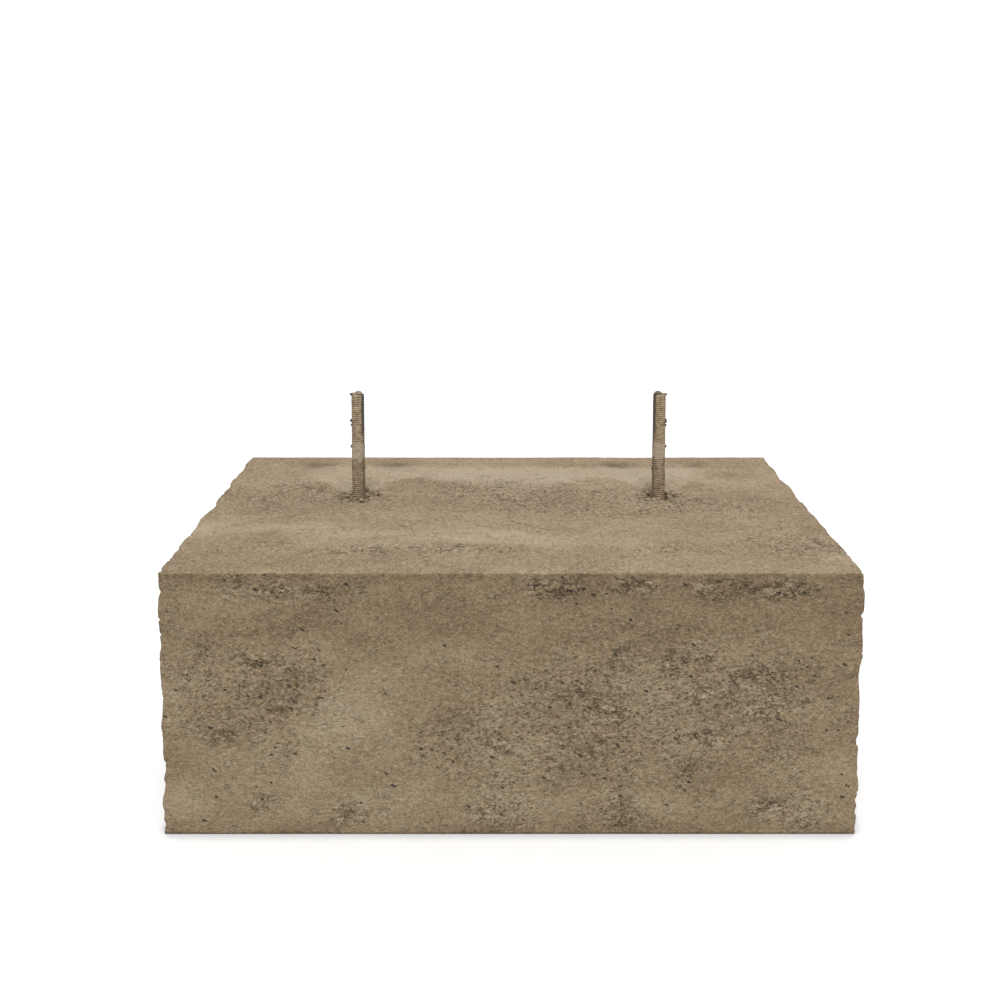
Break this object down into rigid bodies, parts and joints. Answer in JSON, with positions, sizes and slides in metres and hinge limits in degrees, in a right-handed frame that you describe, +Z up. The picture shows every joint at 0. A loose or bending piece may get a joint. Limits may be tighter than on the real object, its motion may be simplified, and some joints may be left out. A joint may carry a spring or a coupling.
{
  "type": "solar ballast mount",
  "caption": "Cast concrete ballast block with two upright threaded studs set in its top, for holding down a solar panel support.",
  "frame": {"origin": "middle of the block's underside", "axes": "+X along the block's length and the row of studs, +Y towards its back, +Z up along the studs"},
  "size_m": [0.35, 0.2, 0.197],
  "materials": {
    "concrete": "matte",
    "zinc_steel": "dull, weathered zinc"
  },
  "bodies": {
    "root": {"concrete_block": "concrete", "threaded_stud_left": "zinc_steel", "anchor_washer_left": "zinc_steel", "anchor_nut_lower_left": "zinc_steel", "anchor_nut_upper_left": "zinc_steel", "threaded_stud_right": "zinc_steel", "anchor_washer_right": "zinc_steel", "anchor_nut_lower_right": "zinc_steel", "anchor_nut_upper_right": "zinc_steel"}
  },
  "joints": []
}
